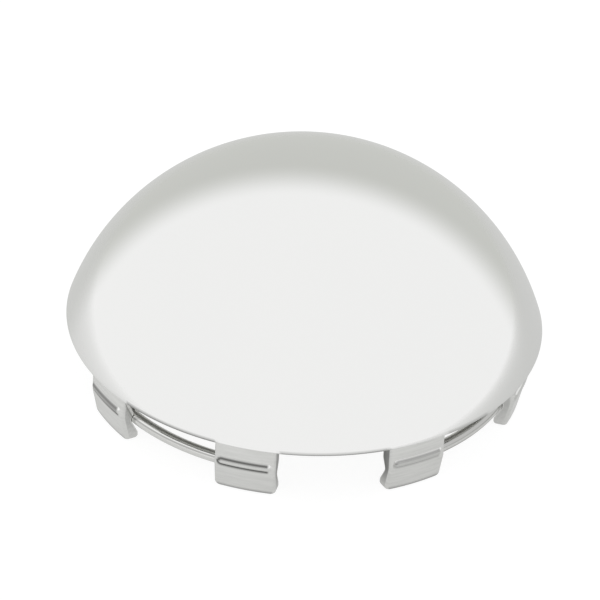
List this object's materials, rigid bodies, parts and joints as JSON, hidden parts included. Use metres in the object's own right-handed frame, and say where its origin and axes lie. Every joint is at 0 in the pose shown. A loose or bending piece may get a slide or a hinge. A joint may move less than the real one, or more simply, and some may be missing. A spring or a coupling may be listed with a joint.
{
  "type": "dome center cap",
  "caption": "Bright-plated hollow dome that snaps into a wheel's center bore: spring tabs with snap ridges hang under its rim, and an open wire ring inside them pushes them out.",
  "frame": {"origin": "on the cap's axis, in the plane of the seat under the rim", "axes": "+Z along the axis, out through the top of the dome; -Y through the gap of the wire ring"},
  "size_m": [0.086, 0.086, 0.043],
  "materials": {
    "plated_cap": "bright mirror plating on a moulded cap",
    "spring_wire": "drawn bright spring wire"
  },
  "bodies": {
    "root": {"dome_cap": "plated_cap", "retaining_ring": "spring_wire"}
  },
  "joints": []
}
